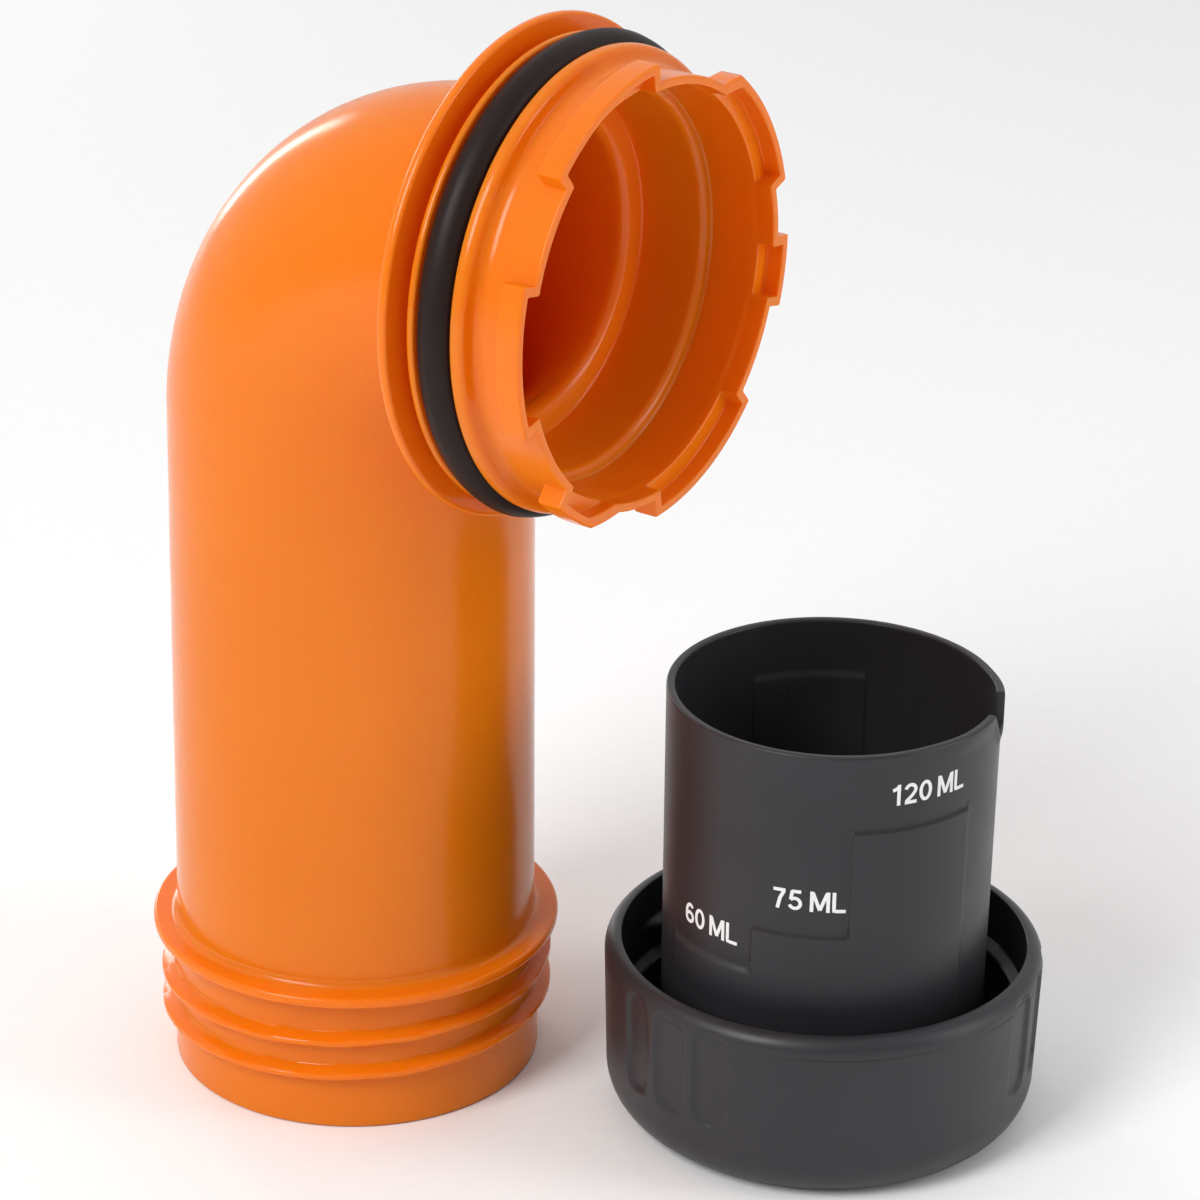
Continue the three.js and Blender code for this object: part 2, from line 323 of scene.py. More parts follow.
def thread_height(thread, azimuth, z):
    """How far a thread's ridge stands off its wall, at each azimuth, at height z."""
    turned = (azimuth - thread["start"]) % 360
    height = np.zeros_like(azimuth)
    for lap in range(math.ceil(thread["turns"])):
        along = turned / 360 + lap
        crest = thread["bottom"] + thread["pitch"] * along
        fade = soft_step(np.minimum(along, thread["turns"] - along), 0, THREAD_FADE)
        half_width = thread["half_width"]
        ridge = 1 - soft_step(np.abs(z - crest), THREAD_FLAT * half_width, half_width)
        height = np.maximum(height, ridge * fade)
    return height * thread["height"]


# Spout


def spout_ring(centre_x, centre_z, outward_x, outward_z, side, turn):
    """Ring across the tube: angle 0 is on the outside of the bend and 180 on its inside."""
    cos, sin = np.cos(np.radians(turn)), np.sin(np.radians(turn))
    return np.stack([centre_x + outward_x * cos, -side * sin, centre_z + outward_z * cos], axis=1)


def level_ring(radius, z, turn):
    return spout_ring(0, z, -radius, 0, radius, turn)


def collar_ring(radius, x, turn):
    return spout_ring(x, AXIS_HEIGHT, 0, radius, radius, turn)


def bend_rings(inset, turn, steps):
    """Rings round the bend, from the upright tube to the level leg, drawn in by inset."""
    start = AXIS_HEIGHT - BEND_RADIUS
    corner_x = TUBE_UPPER + BEND_INSIDE_FILLET
    corner_z = AXIS_HEIGHT - LEG_RADIUS - BEND_INSIDE_FILLET
    for share in np.linspace(0, 1, steps + 1):
        angle = share * math.pi / 2
        side = TUBE_UPPER + (LEG_RADIUS - TUBE_UPPER) * share - inset
        outer = BEND_RADIUS + side
        inner = BEND_INSIDE_FILLET + inset
        outer_x = BEND_RADIUS - outer * math.cos(angle)
        outer_z = start + outer * math.sin(angle)
        inner_x = corner_x - inner * math.cos(angle)
        inner_z = corner_z + inner * math.sin(angle)
        yield spout_ring(
            (outer_x + inner_x) / 2, (outer_z + inner_z) / 2,
            (outer_x - inner_x) / 2, (outer_z - inner_z) / 2, side, turn)


def steep_rise(angles):
    """From 0 to 1 as the angles pass 0, as steep as a lug's square flank."""
    return 1 / (1 + np.exp(np.clip(-angles / LUG_FLANK, -LUG_FLANK_LIMIT, LUG_FLANK_LIMIT)))


def lug_share(angles, inset):
    """From 0 between the lugs to 1 on them, at angles about +X from +Y. inset draws the flanks in."""
    share = np.zeros_like(angles)
    for start, end, foot in LUGS:
        middle = (start + foot) / 2
        at = (angles - middle + 180) % 360 - 180 + middle
        rise = steep_rise(at - start - inset)
        if foot > end:
            fall = np.clip((foot - inset - at) / (foot - end), 0, 1)
        else:
            fall = steep_rise(-(at - end + inset))
        share = np.maximum(share, rise * fall)
    return share


def pocket_inset():
    """How far, in degrees, the pocket behind a lug is narrower than the lug at each flank."""
    return math.degrees((CROWN_RADIUS - CROWN_BORE) / POCKET_RADIUS)


def crown_columns():
    """Columns for the crown, as turns about the tube, with enough of them at each lug's flanks."""
    near = (-0.9, -0.4, -0.15, 0.15, 0.4, 0.9)
    flanks = []
    for start, end, foot in LUGS:
        for inset in (0, pocket_inset()):
            flanks += [start + inset + step for step in near]
            if foot > end:
                flanks += [end - inset, foot - inset]
            else:
                flanks += [end - inset + step for step in near]
    return columns(180, [flank - 90 for flank in flanks])


def neck_outline():
    """(radius, height) points up the outside of the neck, from the mouth's inner edge to the tube."""
    low = rounded([
        (MOUTH_BORE, 1.5, 0),
        (MOUTH_BORE, 0, MOUTH_EDGE),
        (MOUTH_RADIUS, 0, MOUTH_EDGE),
        (MOUTH_RADIUS, 5, 0),
    ])
    high = rounded([
        (MOUTH_RADIUS, NECK_FLANGE_BOTTOM - 1.3, 0),
        (MOUTH_RADIUS, NECK_FLANGE_BOTTOM, 0.9),
        (NECK_FLANGE_RADIUS, NECK_FLANGE_BOTTOM, 0.75),
        (NECK_FLANGE_RADIUS, NECK_FLANGE_TOP, 0.75),
        (TUBE_LOWER, NECK_FLANGE_TOP, 1.6),
        (TUBE_LOWER, TUBE_START, 0),
    ])
    return np.concatenate([low, divided(np.array([low[-1], high[0]]), 0.42)[1:-1], high])


def collar_outline():
    """(radius, x) points along the outside of the collar, from its rear flange to its crown."""
    return rounded([
        (LEG_RADIUS, REAR_FLANGE_BACK - 1.6, 0),
        (LEG_RADIUS, REAR_FLANGE_BACK, 1.2),
        (REAR_FLANGE_RADIUS, REAR_FLANGE_BACK, 1.05),
        (REAR_FLANGE_RADIUS, REAR_FLANGE_FRONT, 0.75),
        (CORE_RADIUS, REAR_FLANGE_FRONT, 0.75),
        (CORE_RADIUS, MIDDLE_RIB[0], 0.75),
        (MIDDLE_RIB_RADIUS, MIDDLE_RIB[0], 0.6),
        (MIDDLE_RIB_RADIUS, MIDDLE_RIB[1], 0.6),
        (SEAT_RADIUS, MIDDLE_RIB[1], 0.8),
        (SEAT_RADIUS, FRONT_RIB[0], 0.8),
        (FRONT_RIB_RADIUS, FRONT_RIB[0], 0.6),
        (FRONT_RIB_RADIUS, FRONT_RIB[1] - 0.2, 1.2),
        (CROWN_RADIUS, FRONT_RIB[1] + 0.5, 1.6),
        (CROWN_RADIUS, CROWN_BACK - 0.1, 0),
    ])


def crown_rings(turn):
    """Rings over the crown, from its outside over the front edge to its bore."""
    plain = rounded([
        (CROWN_RADIUS, CROWN_BACK, 0),
        (CROWN_RADIUS, 56.5, 0.2),
        (CROWN_RADIUS, 57.4, 0.3),
        (CROWN_RADIUS, CROWN_FRONT, 0.35),
        (CROWN_BORE, CROWN_FRONT, 0.35),
        (CROWN_BORE, 59.0, 0.2),
        (CROWN_BORE, 58.0, 0.2),
        CROWN_THROAT,
    ])
    raised = rounded([
        (CROWN_RADIUS, CROWN_BACK, 0),
        (CROWN_RADIUS, LUG_BACK, 0.35),
        (LUG_RADIUS, LUG_BACK, 0.45),
        (LUG_RADIUS, CROWN_FRONT, 0.4),
        (POCKET_RADIUS, CROWN_FRONT, 0.3),
        (POCKET_RADIUS, POCKET_BACK, 0.3),
        (CROWN_BORE - 0.1, POCKET_BACK, 0.3),
        CROWN_THROAT,
    ])
    outside = lug_share(turn + 90, 0)
    inside = lug_share(turn + 90, pocket_inset())
    front = len(plain) // 2
    for i, (low, high) in enumerate(zip(plain, raised)):
        share = outside if i < front else inside
        radius = low[0] + (high[0] - low[0]) * share
        x = low[1] + (high[1] - low[1]) * share
        yield collar_ring(radius, x, turn)


def bore_outline():
    """(radius, x) points along the collar's bore, from the crown back to the bend."""
    return rounded([
        (CROWN_BORE - 0.22, 57.0, 0),
        (CROWN_BORE_BACK, LEDGE, 0.5),
        (COLLAR_BORE_FRONT, LEDGE - 0.1, 1.3),
        (COLLAR_BORE_BACK, COLLAR_BORE_END, 0.5),
        (LEG_RADIUS - TUBE_WALL, COLLAR_BORE_END - 0.2, 2.2),
        (LEG_RADIUS - TUBE_WALL, LEG_BORE_FRONT, 0),
    ], 6)


def make_spout():
    skin = Skin()
    round_turns = columns(216)
    crown_turns = crown_columns()
    azimuth = round_turns + 180
    thread_low, thread_high = NECK_THREAD_SPAN
    for radius, z in neck_outline():
        threaded = thread_low < z < thread_high and radius > MOUTH_BORE + 1
        proud = thread_height(NECK_THREAD, azimuth, z) if threaded else 0
        skin.ring(level_ring(radius + proud, z, round_turns), round_turns)
    bend_start = AXIS_HEIGHT - BEND_RADIUS
    for z in np.linspace(TUBE_START + 2, bend_start - 6, 12):
        share = (z - TUBE_START) / (bend_start - TUBE_START)
        radius = TUBE_LOWER + (TUBE_UPPER - TUBE_LOWER) * share
        skin.ring(level_ring(radius, z, round_turns), round_turns)
    for ring in bend_rings(0, round_turns, 40):
        skin.ring(ring, round_turns)
    for radius, x in collar_outline():
        skin.ring(collar_ring(radius, x, round_turns), round_turns)
    for ring in crown_rings(crown_turns):
        skin.ring(ring, crown_turns)
    for radius, x in bore_outline():
        skin.ring(collar_ring(radius, x, round_turns), round_turns)
    for ring in reversed(list(bend_rings(TUBE_WALL, round_turns, 30))):
        skin.ring(ring, round_turns)
    for z in np.linspace(bend_start - 8, 3, 8):
        share = z / bend_start
        radius = MOUTH_BORE + (TUBE_UPPER - TUBE_WALL - MOUTH_BORE) * share
        skin.ring(level_ring(radius, z, round_turns), round_turns)
    skin.close(round_turns)
    return new_object("spout_shell", skin.points, skin.faces, SPOUT_PLACE)


# Sealing ring in the collar


def make_ring():
    skin = Skin()
    turns = columns(256)
    sections = np.arange(0, 360, 10)
    for angle in sections:
        off_top = abs((angle + 180) % 360 - 180)
        flash = RING_FLASH * math.exp(-((off_top / RING_FLASH_WIDTH) ** 2))
        reach = RING_SECTION + flash
        radius = RING_RADIUS + reach * math.cos(math.radians(angle))
        x = RING_PLACE + reach * math.sin(math.radians(angle))
        skin.ring(collar_ring(radius, x, turns), turns)
    skin.close(turns)
    return new_object("seal_ring_rubber", skin.points, skin.faces, SPOUT_PLACE)


# Screw cap


def axis_ring(radius, z, azimuth):
    across = np.radians(azimuth)
    height = np.broadcast_to(z, azimuth.shape)
    return np.stack([radius * np.cos(across), radius * np.sin(across), height], axis=1)


def flute_angles():
    for group in range(FLUTE_GROUPS):
        for i in range(FLUTES_PER_GROUP):
            offset = (i - (FLUTES_PER_GROUP - 1) / 2) * FLUTE_SPACING
            yield (FLUTE_CENTRE + group * 360 / FLUTE_GROUPS + offset) % 360


def flute_depth(azimuth, z):
    """How deep the grip flutes are at height z: long pads with round ends and soft edges."""
    half = FLUTE_WIDTH / 2
    depth = np.zeros_like(azimuth)
    above = max(0, z - (FLUTE_TOP - half))
    below = max(0, FLUTE_BOTTOM + half - z)
    for centre in flute_angles():
        across = np.radians((azimuth - centre + 180) % 360 - 180) * CAP_UPPER
        reach = np.hypot(across, max(above, below))
        depth = np.maximum(depth, 1 - soft_step(reach, half - 0.35, half + 0.1))
    return depth * FLUTE_DEPTH


def cap_outside():
    """(radius, height) points over the cap's outside, from the middle of its underside to its lip."""
    lower = rounded([(CAP_RECESS_RADIUS, CAP_RECESS_TOP, 0), *CAP_FOOT])
    quarter = np.linspace(0, math.pi / 2, 20)
    bend = np.stack([
        CAP_LOWER - CAP_BASE_REACH * (1 - np.sin(quarter)),
        CAP_BASE_RISE * (1 - np.cos(quarter)),
    ], axis=1)
    side_top = CAP_HEIGHT - CAP_LIP_RISE
    ends = np.array([(CAP_LOWER, CAP_BASE_RISE + 0.3), (CAP_UPPER, PARTING_HEIGHT - 0.25)])
    side = divided(ends, 0.45)
    parting = [
        (CAP_UPPER - 0.12, PARTING_HEIGHT - 0.05),
        (CAP_UPPER - 0.02, PARTING_HEIGHT + 0.2),
    ]
    lip = np.stack([
        CAP_UPPER - CAP_LIP_REACH * (1 - np.cos(quarter)),
        side_top + CAP_LIP_RISE * np.sin(quarter),
    ], axis=1)
    return np.concatenate([lower, bend, side, parting, lip[:-1]])


def cap_inside():
    """(radius, height) points down the cap's inside, from its lip to its floor."""
    wall = rounded([
        (CAP_UPPER - CAP_LIP_REACH, CAP_HEIGHT, 0),
        (CAP_BORE, CAP_HEIGHT, 0.35),
        (CAP_BORE, CAP_FLOOR + 0.2, 0.5),
        (CAP_SEAT_RADIUS, CAP_FLOOR, 0.1),
        (CAP_SEAT_RADIUS, CAP_MIDDLE_FLOOR, 0.3),
        (20, CAP_MIDDLE_FLOOR, 0),
    ], 5)
    return divided(wall, 0.45)


def make_cap():
    edges = [
        centre + side * FLUTE_HALF_TURN + step
        for centre in flute_angles()
        for side in (-1, 1)
        for step in (-0.8, -0.3, 0.3)
    ]
    azimuth = columns(240, edges)
    thread_low, thread_high = CAP_THREAD_SPAN
    skin = Skin()
    skin.pole((0, 0, CAP_RECESS_TOP))
    for radius, z in cap_outside():
        sunk = flute_depth(azimuth, z) if z > FLUTE_BOTTOM - 1 and radius > CAP_BORE else 0
        skin.ring(axis_ring(radius - sunk, z, azimuth), azimuth)
    for radius, z in cap_inside():
        threaded = thread_low < z < thread_high and radius > CAP_BORE - 0.2
        proud = thread_height(CAP_THREAD, azimuth, z) if threaded else 0
        skin.ring(axis_ring(radius + proud, z, azimuth), azimuth)
    skin.pole((0, 0, CAP_MIDDLE_FLOOR))
    return new_object("cap_shell", skin.points, skin.faces, CAP_PLACE)


# Measuring cup


def signed(azimuth):
    """The same angles from -180 to 180."""
    return (azimuth + 180) % 360 - 180


def window(value, start, end, blur):
    """1 between start and end, and 0 outside, with a soft edge at each."""
    return soft_step(value, start - blur, start + blur) * (1 - soft_step(value, end - blur, end + blur))


def cup_radius(z):
    return CUP_RADIUS + (CUP_RIM_RADIUS - CUP_RADIUS) * z / CUP_HEIGHT


def rim_drop(azimuth):
    """How far the pour notch lowers the rim at each azimuth."""
    return NOTCH_DEPTH * np.interp(signed(azimuth), NOTCH_ANGLES, NOTCH_SHARES)


def lip_flare(azimuth, z):
    """How far the rim is bent outwards beside the pour notch."""
    beside = window(signed(azimuth), *LIP_ANGLES, LIP_BLUR)
    return LIP_FLARE * beside * soft_step(z, CUP_HEIGHT - 4, CUP_HEIGHT - 0.5)


def step_height(azimuth, z):
    """How far the steps stand proud: each is raised up to low, and sinks in from high down to low."""
    height = np.zeros_like(azimuth)
    for start, end, low, high in STEPS:
        raised = STEP_RELIEF * (1 - soft_step(z, low - 0.3, low + 0.1))
        slope = (high - z) / (high - low) if z > low else 0
        sunk = STEP_SINK * (1 - soft_step(z, high - 0.3, high)) * slope
        height += window(signed(azimuth), start, end, 0.3) * (raised - sunk)
    return height


def panel_height(azimuth, z):
    """How far the volume panel stands proud of the cup's inside."""
    start, end, top = PANEL
    return PANEL_RELIEF * window(azimuth % 360, start, end, 0.6) * (1 - soft_step(z, top - 0.4, top + 0.2))


def make_cup():
    edges = [edge for start, end, _, _ in STEPS for edge in (start, end)] + list(PANEL[:2])
    extra = [edge + step for edge in edges for step in (-0.3, -0.1, 0.1, 0.3)]
    extra += list(NOTCH_ANGLES)
    extra += list(np.arange(NOTCH_ANGLES[0] + 1.6, NOTCH_ANGLES[-1] - 1.6, 0.8))
    azimuth = columns(220, extra)
    rim_bore = CUP_RIM_RADIUS - CUP_WALL
    outside = rounded([
        (20, CUP_BASE, 0),
        (cup_radius(CUP_BASE), CUP_BASE, 0.4),
        (CUP_RIM_RADIUS, CUP_HEIGHT - 2, 0),
    ])
    rim = rounded([
        (CUP_RIM_RADIUS, CUP_HEIGHT - 2, 0),
        (CUP_RIM_RADIUS, CUP_HEIGHT, 0.5),
        (rim_bore, CUP_HEIGHT, 0.5),
        (rim_bore, CUP_HEIGHT - 2, 0),
    ])
    inside = rounded([
        (rim_bore, CUP_HEIGHT - 2, 0),
        (cup_radius(CUP_FLOOR) - CUP_WALL, CUP_FLOOR, 2.5),
        (10, CUP_FLOOR, 0),
    ])
    lift_from = CUP_HEIGHT - LIP_ZONE
    drop = rim_drop(azimuth)
    skin = Skin()
    skin.pole((0, 0, CUP_BASE))
    outer = divided(outside, 0.33)
    crest = divided(rim, 0.5)[1:-1]
    inner = divided(inside, 0.6)
    for radius, z in np.concatenate([outer, crest, inner]):
        share = max(0, (z - lift_from) / (CUP_HEIGHT - lift_from))
        on_wall = radius > cup_radius(z) - CUP_WALL - 0.1
        on_outside = radius > cup_radius(z) - CUP_WALL / 2
        height = z - drop * share
        reach = radius + (lip_flare(azimuth, z) if on_wall and z > lift_from else 0)
        if on_outside and z > CUP_BASE + 1:
            reach = reach + step_height(azimuth, z)
        elif on_wall and CUP_FLOOR + 4 < z < CUP_HEIGHT - 4:
            reach = reach - panel_height(azimuth, z)
        skin.ring(axis_ring(reach, height, azimuth), azimuth)
    skin.pole((0, 0, CUP_FLOOR))
    return new_object("cup_shell", skin.points, skin.faces, CAP_PLACE)


# Sealing washer in the cap


def make_washer():
    outline = rounded([
        (31, WASHER_BOTTOM, 0),
        (WASHER_BORE, WASHER_BOTTOM, WASHER_EDGE),
        (WASHER_BORE, WASHER_TOP, WASHER_EDGE),
        (WASHER_RADIUS, WASHER_TOP, WASHER_EDGE),
        (WASHER_RADIUS, WASHER_BOTTOM, WASHER_EDGE),
        (31.5, WASHER_BOTTOM, 0),
    ])
    azimuth = columns(180)
    skin = Skin()
    for radius, z in outline:
        skin.ring(axis_ring(radius, z, azimuth), azimuth)
    skin.close(azimuth)
    return new_object("washer_rubber", skin.points, skin.faces, CAP_PLACE)


# Volume marks: each sign is a few strokes of one width, on a field one unit high


def bow(centre, reach, start, end, steps=14):
    """Arc of an ellipse between two angles in degrees, counterclockwise where end is the larger."""
    angles = np.radians(np.linspace(start, end, steps + 1))
    return [(centre[0] + reach[0] * math.cos(a), centre[1] + reach[1] * math.sin(a)) for a in angles]


HALF = MARK_STROKE / 2
TOP = 1 - HALF
SIGNS = {
    "0": (0.66, [bow((0.33, 0.5), (0.245, 0.415), 0, 360, 32)]),
    "1": (0.50, [[(0.33, 0), (0.33, 1)], [(0.04, 0.75), (0.16, 0.78), (0.27, 0.86)]]),
    "2": (0.66, [bow((0.32, 0.68), (0.235, 0.235), 170, -30) + [(0.38, 0.38), (0.11, 0.13)],
                 [(0.05, HALF), (0.62, HALF)]]),
    "4": (0.68, [[(0.47, 0), (0.47, 1)], [(0.42, 0.93), (0.06, 0.32)], [(0.02, 0.28), (0.64, 0.28)]]),
    "5": (0.66, [[(0.58, TOP), (0.17, TOP)], [(0.19, 0.95), (0.13, 0.50)],
                 bow((0.31, 0.335), (0.25, 0.25), 138, -158)]),
    "6": (0.66, [bow((0.33, 0.31), (0.245, 0.225), 0, 360, 28),
                 bow((0.36, 0.47), (0.275, 0.445), 48, 205)]),
    "7": (0.62, [[(0.03, TOP), (0.58, TOP)], [(0.52, 0.88), (0.34, 0.52), (0.23, 0)]]),
    "M": (0.90, [[(HALF, 0), (HALF, 1)], [(0.12, 0.95), (0.44, 0.10)], [(0.76, 0.95), (0.44, 0.10)],
                 [(0.88 - HALF, 0), (0.88 - HALF, 1)]]),
    "L": (0.62, [[(HALF, 1), (HALF, HALF), (0.60, HALF)]]),
    "O": (0.80, [bow((0.40, 0.5), (0.315, 0.415), 0, 360, 32)]),
    "Z": (0.62, [[(0.03, TOP), (0.57, TOP)], [(0.53, 0.90), (0.08, 0.10)], [(0.03, HALF), (0.60, HALF)]]),
    " ": (0.16, []),
}


def stroke_edges(line):
    """Points along both edges of a stroke of even width."""
    line = divided(np.array(line, float), 0.12)
    ahead = np.gradient(line, axis=0)
    ahead /= np.linalg.norm(ahead, axis=1)[:, None]
    if np.allclose(line[0], line[-1]):
        ahead[0] = ahead[-1] = (ahead[0] + ahead[-1]) / np.linalg.norm(ahead[0] + ahead[-1])
    side = np.stack([-ahead[:, 1], ahead[:, 0]], axis=1) * HALF
    return line + side, line - side


def make_mark(name, text, azimuth, height, size, inside=False):
    """Flat signs wrapped round the cup with their left end at azimuth, standing just off its wall."""
    lifts = RAISED_LIFT if inside else INK_LIFT
    points = []
    faces = []
    cursor = 0.0
    for sign in text:
        advance, strokes = SIGNS[sign]
        for line in strokes:
            left, right = stroke_edges(line)
            first = len(points)
            for a, b in zip(left, right):
                for x, y in (a, b):
                    z = height + y * size
                    wall = cup_radius(z) - (CUP_WALL + PANEL_RELIEF if inside else 0)
                    along = (cursor + x) * size / wall
                    around = math.radians(azimuth) + (-along if inside else along)
                    for lift in lifts:
                        radius = wall - lift if inside else wall + lift
                        points.append((radius * math.cos(around), radius * math.sin(around), z))
            count = len(left)
            for i in range(count - 1):
                a, b = first + 4 * i, first + 4 * (i + 1)
                faces += [(a + 1, b + 1, b + 3, a + 3), (a, a + 2, b + 2, b)]
                faces += [(a, b, b + 1, a + 1), (a + 2, a + 3, b + 3, b + 2)]
            end = first + 4 * (count - 1)
            faces += [(first, first + 1, first + 3, first + 2), (end, end + 2, end + 3, end + 1)]
        cursor += advance + SIGN_GAP
    return new_object(name, points, faces, CAP_PLACE)


# Materials

NOISE_LOW = 0.3
NOISE_HIGH = 0.7
DRIFT_SCALE = 25
HAZE_SCALE = 90
GRAIN_STRENGTH = 0.25


def new_material(name):
    material = bpy.data.materials.new(name)
    material.use_nodes = True
    nodes = material.node_tree.nodes
    return material, nodes, material.node_tree.links, nodes["Principled BSDF"]


def noise_at(nodes, links, scale, detail=3.0):
    place = nodes.new("ShaderNodeTexCoord")
    noise = nodes.new("ShaderNodeTexNoise")
    noise.inputs["Scale"].default_value = scale
    noise.inputs["Detail"].default_value = detail
    links.new(place.outputs["Object"], noise.inputs["Vector"])
    return noise


def ramp_between(nodes, links, source, low, high):
    """Blends from the low colour to the high one over the middle of the source's range."""
    ramp = nodes.new("ShaderNodeValToRGB")
    ramp.color_ramp.elements[0].position = NOISE_LOW
    ramp.color_ramp.elements[1].position = NOISE_HIGH
    ramp.color_ramp.elements[0].color = (*low, 1)
    ramp.color_ramp.elements[1].color = (*high, 1)
    links.new(source, ramp.inputs["Fac"])
    return ramp


def range_between(nodes, links, source, low, high):
    spread = nodes.new("ShaderNodeMapRange")
    spread.inputs["From Min"].default_value = NOISE_LOW
    spread.inputs["From Max"].default_value = NOISE_HIGH
    spread.inputs["To Min"].default_value = low
    spread.inputs["To Max"].default_value = high
    links.new(source, spread.inputs["Value"])
    return spread


def grain_from(nodes, links, source, distance):
    bump = nodes.new("ShaderNodeBump")
    bump.inputs["Strength"].default_value = GRAIN_STRENGTH
    bump.inputs["Distance"].default_value = distance
    links.new(source, bump.inputs["Height"])
    return bump


def plastic(name, low, high, rough_low, rough_high, grain_scale, grain_depth):
    """Moulded plastic: slow colour drift, uneven gloss and a fine skin grain."""
    material, nodes, links, shader = new_material(name)
    drift = noise_at(nodes, links, DRIFT_SCALE)
    colour = ramp_between(nodes, links, drift.outputs["Fac"], low, high)
    links.new(colour.outputs["Color"], shader.inputs["Base Color"])
    haze = noise_at(nodes, links, HAZE_SCALE)
    rough = range_between(nodes, links, haze.outputs["Fac"], rough_low, rough_high)
    links.new(rough.outputs["Result"], shader.inputs["Roughness"])
    grain = noise_at(nodes, links, grain_scale, 2.0)
    bump = grain_from(nodes, links, grain.outputs["Fac"], grain_depth)
    links.new(bump.outputs["Normal"], shader.inputs["Normal"])
    return material, shader


orange, orange_shader = plastic(
    "orange_plastic", (0.79, 0.180, 0.003), (0.83, 0.194, 0.005), 0.16, 0.22, 1400, 0.00004)
orange_shader.inputs["Specular IOR Level"].default_value = 0.28
orange_shader.inputs["Subsurface Weight"].default_value = 0.5
orange_shader.inputs["Subsurface Radius"].default_value = (1.0, 0.1, 0.01)
orange_shader.inputs["Subsurface Scale"].default_value = 0.006
grey, grey_shader = plastic(
    "grey_plastic", (0.020, 0.019, 0.022), (0.026, 0.025, 0.029), 0.38, 0.46, 2200, 0.00006)
grey_shader.inputs["Specular IOR Level"].default_value = 0.4
ring_rubber, ring_shader = plastic(
    "ring_rubber", (0.012, 0.006, 0.005), (0.018, 0.010, 0.008), 0.42, 0.52, 1600, 0.00008)
ring_shader.inputs["Specular IOR Level"].default_value = 0.18
washer_rubber, _ = plastic(
    "washer_rubber", (0.010, 0.010, 0.010), (0.018, 0.018, 0.018), 0.6, 0.75, 1800, 0.0001)
white_ink, _ = plastic(
    "white_ink", (0.78, 0.78, 0.78), (0.88, 0.88, 0.88), 0.45, 0.55, 2400, 0.00003)


# Pieces


def finish_piece(made, material, body, node=None):
    made.data.materials.clear()
    made.data.materials.append(material)
    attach(made, body)
    if node:
        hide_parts(node)


finish_piece(make_spout(), orange, "spout_body", "spout")
finish_piece(make_ring(), ring_rubber, "spout_body", "tank_seal_ring")
finish_piece(make_cap(), grey, "cap", "screw_cap")
finish_piece(make_cup(), grey, "cap", "measuring_cup")
finish_piece(make_washer(), washer_rubber, "cap_lift", "cap_seal")

for mark in MARKS:
    finish_piece(make_mark(*mark, MARK_HEIGHT), white_ink, "cap")
inside_mark = make_mark(*INSIDE_MARK, INSIDE_MARK_HEIGHT, inside=True)
finish_piece(inside_mark, grey, "cap")


# Studio: the camera's place is in metres from the spout, and the lights' places are in metres

CAMERA_FROM_SPOUT = (0.40354, -0.51444, 0.37438)
CAMERA_FORWARD = (-0.50872, 0.75757, -0.40900)
CAMERA_ROLL = 1.163
CAMERA_LENS = 125.5
CAMERA_SENSOR = 36
CAMERA_SHIFT = (-0.029857, 0.016658)
CAMERA_CLIP = (0.01, 20)
FLOOR_HALF = 6.0
FLOOR_HEIGHT = -0.0002
FLOOR_GRAIN_SCALE = 300
FLOOR_ROUGHNESS = 0.9
SKY_BRIGHT_SIDE = (-0.6, 0.7, 0.4)
SKY_STRENGTH = (0.25, 0.85)
LIGHT_TARGET = (0.0, 0.0, 0.09)


def make_camera():
    """A long lens from the front right, looking down on the set."""
    data = bpy.data.cameras.new("camera")
    data.lens = CAMERA_LENS
    data.sensor_width = CAMERA_SENSOR
    data.shift_x, data.shift_y = CAMERA_SHIFT
    data.clip_start, data.clip_end = CAMERA_CLIP
    camera = bpy.data.objects.new("camera", data)
    place = Vector([start * MM + step for start, step in zip(SPOUT_PLACE, CAMERA_FROM_SPOUT)])
    forward = Vector(CAMERA_FORWARD).normalized()
    level = forward.cross(Vector((0, 0, 1))).normalized()
    upward = level.cross(forward)
    roll = math.radians(CAMERA_ROLL)
    right = level * math.cos(roll) + upward * math.sin(roll)
    up = upward * math.cos(roll) - level * math.sin(roll)
    turn = Matrix((right, up, -forward)).transposed()
    camera.matrix_world = Matrix.Translation(place) @ turn.to_4x4()
    bpy.context.scene.collection.objects.link(camera)
    bpy.context.scene.camera = camera


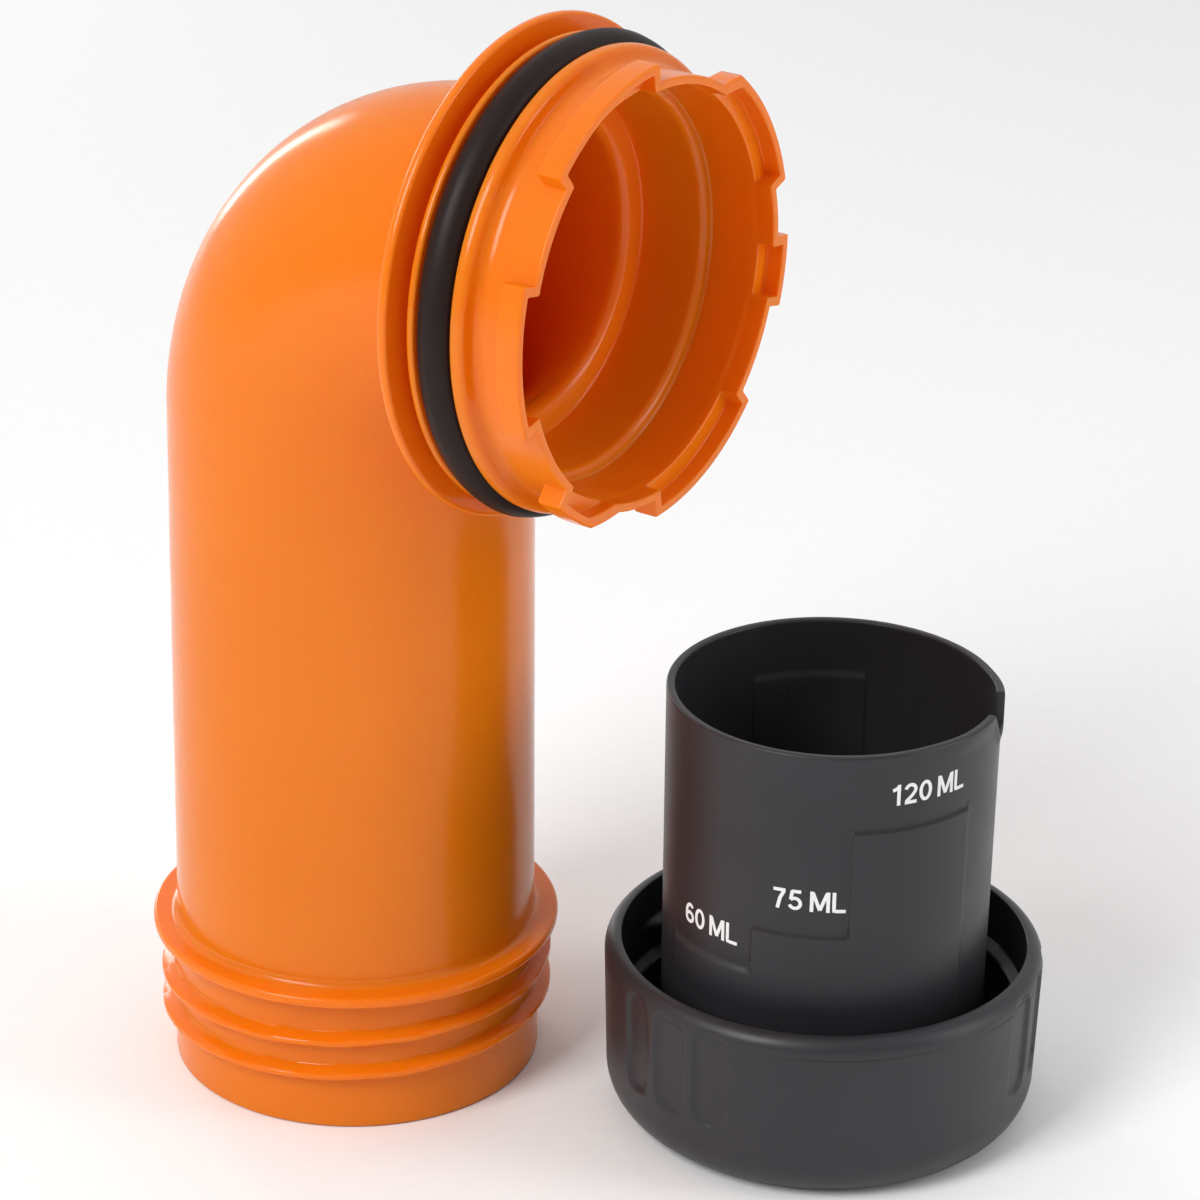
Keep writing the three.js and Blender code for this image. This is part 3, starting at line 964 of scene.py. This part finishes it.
def make_light(name, place, size, power):
    data = bpy.data.lights.new(name, "AREA")
    data.shape = "RECTANGLE"
    data.size, data.size_y = size
    data.energy = power
    light = bpy.data.objects.new(name, data)
    light.location = place
    light.rotation_mode = "QUATERNION"
    light.rotation_quaternion = (Vector(LIGHT_TARGET) - Vector(place)).to_track_quat("-Z", "Y")
    bpy.context.scene.collection.objects.link(light)


def make_floor():
    mesh = bpy.data.meshes.new("floor")
    corners = [(x * FLOOR_HALF, y * FLOOR_HALF, 0) for x, y in ((-1, -1), (1, -1), (1, 1), (-1, 1))]
    mesh.from_pydata(corners, [], [(0, 1, 2, 3)])
    floor = bpy.data.objects.new("floor", mesh)
    floor.location.z = FLOOR_HEIGHT
    bpy.context.scene.collection.objects.link(floor)
    material, nodes, links, shader = new_material("floor_paper")
    noise = noise_at(nodes, links, FLOOR_GRAIN_SCALE)
    colour = ramp_between(nodes, links, noise.outputs["Fac"], (0.95, 0.95, 0.95), (0.97, 0.97, 0.97))
    links.new(colour.outputs["Color"], shader.inputs["Base Color"])
    shader.inputs["Roughness"].default_value = FLOOR_ROUGHNESS
    mesh.materials.append(material)


def make_world():
    """A white sky, brighter on the side behind the spout than on the side of the camera."""
    world = bpy.data.worlds.new("studio")
    bpy.context.scene.world = world
    world.use_nodes = True
    nodes, links = world.node_tree.nodes, world.node_tree.links
    background = nodes["Background"]
    background.inputs["Color"].default_value = (1, 1, 1, 1)
    direction = nodes.new("ShaderNodeTexCoord")
    facing = nodes.new("ShaderNodeVectorMath")
    facing.operation = "DOT_PRODUCT"
    facing.inputs[1].default_value = Vector(SKY_BRIGHT_SIDE).normalized()
    strength = nodes.new("ShaderNodeMapRange")
    strength.inputs["From Min"].default_value = -1
    strength.inputs["To Min"].default_value = SKY_STRENGTH[0]
    strength.inputs["To Max"].default_value = SKY_STRENGTH[1]
    links.new(direction.outputs["Generated"], facing.inputs[0])
    links.new(facing.outputs["Value"], strength.inputs["Value"])
    links.new(strength.outputs["Result"], background.inputs["Strength"])


make_camera()
make_floor()
make_world()
make_light("key", (-0.15, -1.0, 0.95), (0.5, 0.7), 11)
make_light("left_strip", (-0.98, 0.5, 0.28), (0.1, 0.5), 1.2)
make_light("right_strip", (1.0, 0.35, 0.4), (0.3, 0.9), 3.5)
bpy.context.scene.view_settings.view_transform = "Standard"
